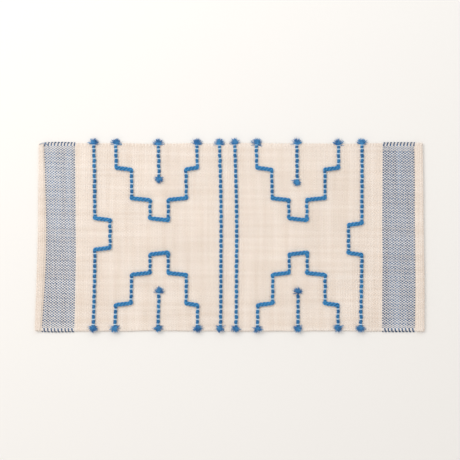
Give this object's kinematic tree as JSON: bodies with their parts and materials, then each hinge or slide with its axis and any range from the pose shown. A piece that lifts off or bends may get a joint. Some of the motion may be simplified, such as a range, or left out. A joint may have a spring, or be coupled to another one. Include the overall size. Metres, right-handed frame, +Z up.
{
  "type": "runner rug",
  "caption": "Hand-woven cream cotton runner rug with blue and cream end bands, thick blue inlay lines with stepped motifs, and short blue tufts along the long edges.",
  "frame": {"origin": "centre of the underside, on the floor", "axes": "+X along the rug's length, +Y across its width towards the upper edge, +Z up, out of the face"},
  "size_m": [1.22, 0.621, 0.013],
  "materials": {
    "cream_cotton": "matte",
    "band_cloth": "matte",
    "blue_weft": "matte",
    "inlay_yarn": "matte",
    "stitch_thread": "matte"
  },
  "bodies": {
    "root": {"band_cloth_left": "band_cloth", "band_cloth_right": "band_cloth", "end_hem_left": "cream_cotton", "end_hem_right": "cream_cotton", "ground_cloth": "cream_cotton", "hem_stitches_left": "stitch_thread", "hem_stitches_right": "stitch_thread", "inlay_centre_line_left": "inlay_yarn", "inlay_centre_line_right": "inlay_yarn", "inlay_edge_line_left": "inlay_yarn", "inlay_edge_line_right": "inlay_yarn", "inlay_short_line_lower_left": "inlay_yarn", "inlay_short_line_lower_right": "inlay_yarn", "inlay_short_line_upper_left": "inlay_yarn", "inlay_short_line_upper_right": "inlay_yarn", "inlay_staircase_lower_left": "inlay_yarn", "inlay_staircase_lower_right": "inlay_yarn", "inlay_staircase_upper_left": "inlay_yarn", "inlay_staircase_upper_right": "inlay_yarn", "selvedge_lower": "cream_cotton", "selvedge_upper": "cream_cotton", "tie_warps_centre": "cream_cotton", "tie_warps_left_line": "cream_cotton", "tie_warps_left_stairs": "cream_cotton", "tie_warps_right_line": "cream_cotton", "tie_warps_right_stairs": "cream_cotton", "tuft_centre_line_left_lower": "inlay_yarn", "tuft_centre_line_left_upper": "inlay_yarn", "tuft_centre_line_right_lower": "inlay_yarn", "tuft_centre_line_right_upper": "inlay_yarn", "tuft_edge_line_left_lower": "inlay_yarn", "tuft_edge_line_left_upper": "inlay_yarn", "tuft_edge_line_right_lower": "inlay_yarn", "tuft_edge_line_right_upper": "inlay_yarn", "tuft_short_line_left_lower": "inlay_yarn", "tuft_short_line_left_lower_inner": "inlay_yarn", "tuft_short_line_left_upper": "inlay_yarn", "tuft_short_line_left_upper_inner": "inlay_yarn", "tuft_short_line_right_lower": "inlay_yarn", "tuft_short_line_right_lower_inner": "inlay_yarn", "tuft_short_line_right_upper": "inlay_yarn", "tuft_short_line_right_upper_inner": "inlay_yarn", "tuft_staircase_left_a_lower": "inlay_yarn", "tuft_staircase_left_a_upper": "inlay_yarn", "tuft_staircase_left_b_lower": "inlay_yarn", "tuft_staircase_left_b_upper": "inlay_yarn", "tuft_staircase_right_a_lower": "inlay_yarn", "tuft_staircase_right_a_upper": "inlay_yarn", "tuft_staircase_right_b_lower": "inlay_yarn", "tuft_staircase_right_b_upper": "inlay_yarn", "weft_tail": "blue_weft", "weft_turns_lower_left": "blue_weft", "weft_turns_lower_right": "blue_weft", "weft_turns_upper_left": "blue_weft", "weft_turns_upper_right": "blue_weft"}
  },
  "joints": []
}
